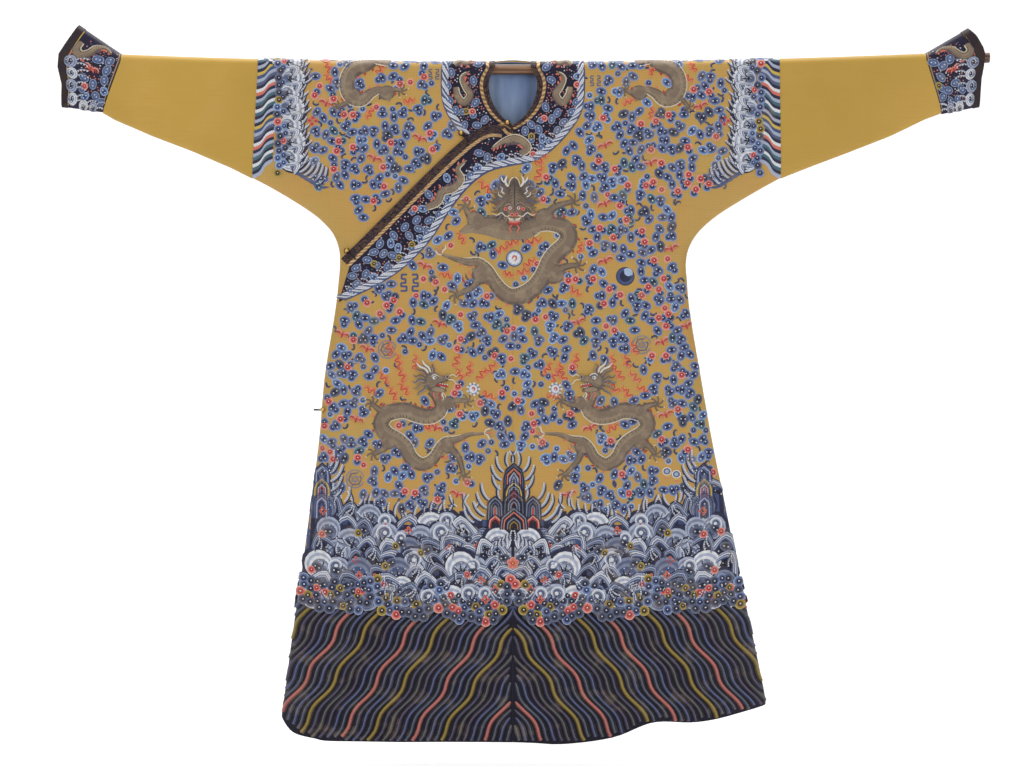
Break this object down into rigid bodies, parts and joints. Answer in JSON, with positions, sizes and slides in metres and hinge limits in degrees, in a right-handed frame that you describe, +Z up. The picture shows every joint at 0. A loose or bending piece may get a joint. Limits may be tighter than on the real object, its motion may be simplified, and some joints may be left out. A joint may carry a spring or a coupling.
{
  "type": "dragon robe on hanging pole",
  "caption": "Long silk court robe with embroidered front flap, flared horse-hoof cuffs and open hem, hung flat through both sleeves on a round wooden pole.",
  "frame": {"origin": "on the pole's axis at the middle of the robe, where the pole holds it", "axes": "+X along the pole towards the wearer's left sleeve, -Y towards the front of the robe, +Z up"},
  "size_m": [1.9802, 0.0824, 1.5277],
  "materials": {
    "yellow_silk": "plain imperial yellow silk satin, soft sheen",
    "embroidered_silk": "yellow silk covered with satin-stitch clouds, waves and couched gold dragons",
    "navy_silk": "dark navy silk with satin-stitch clouds and couched gold dragons",
    "brocade": "dark patterned brocade ribbon",
    "gilt_braid": "flat woven gilt thread braid",
    "blue_lining": "light blue damask silk",
    "pole_wood": "brown stained wood, matt",
    "gilt_ball": "gilt brass, worn polish"
  },
  "bodies": {
    "root": {"pole": "pole_wood", "body_left": "embroidered_silk", "body_right": "embroidered_silk", "front_overlap": "embroidered_silk", "sleeve_left": "yellow_silk", "sleeve_right": "yellow_silk", "cuff_left": "navy_silk", "cuff_right": "navy_silk", "cuff_binding_left": "brocade", "cuff_binding_right": "brocade", "neck_facing_left": "navy_silk", "neck_facing_right": "navy_silk", "neck_facing_back": "navy_silk", "flap_facing": "navy_silk", "neck_binding_left": "brocade", "neck_binding_right": "brocade", "neck_binding_back": "brocade", "flap_binding": "brocade", "neck_braid_left": "gilt_braid", "neck_braid_right": "gilt_braid", "flap_braid": "gilt_braid", "neck_lining_back": "blue_lining", "neck_button": "gilt_ball", "collar_button": "gilt_ball", "underarm_button": "gilt_ball", "side_button": "gilt_ball"}
  },
  "joints": []
}
